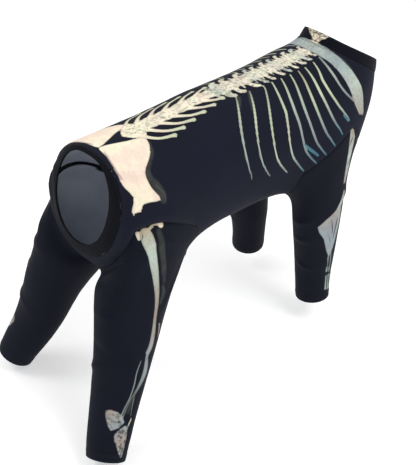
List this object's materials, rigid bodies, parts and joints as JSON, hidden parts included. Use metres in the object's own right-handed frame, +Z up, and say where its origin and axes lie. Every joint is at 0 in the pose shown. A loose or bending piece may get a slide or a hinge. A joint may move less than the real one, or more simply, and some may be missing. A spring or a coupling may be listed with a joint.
{
  "type": "dog skeleton costume",
  "caption": "Full body dog suit of dark stretch knit with a printed skeleton: trunk, leg tubes, neck band and a bound tail opening, shaped as worn.",
  "frame": {"origin": "on the inside of the back cloth at the middle line, over the last ribs, where the suit rests on a dog's back", "axes": "+Z up, +Y towards the tail, -Y towards the neck, +X to the dog's left side"},
  "size_m": [0.4081, 0.8675, 0.6287],
  "materials": {
    "body_knit": "smooth matt stretch knit with a pale printed skeleton",
    "band_knit": "folded stretch knit band",
    "binding_knit": "black folded binding",
    "front_leg_left_knit": "stretch knit with printed leg bones",
    "front_leg_right_knit": "stretch knit with printed leg bones",
    "hind_leg_left_knit": "stretch knit with printed leg bones",
    "hind_leg_right_knit": "stretch knit with printed leg bones"
  },
  "bodies": {
    "root": {"body": "body_knit", "neck_band": "band_knit", "tail_opening_binding": "binding_knit", "front_leg_left": "front_leg_left_knit", "front_leg_right": "front_leg_right_knit", "hind_leg_left": "hind_leg_left_knit", "hind_leg_right": "hind_leg_right_knit"}
  },
  "joints": []
}
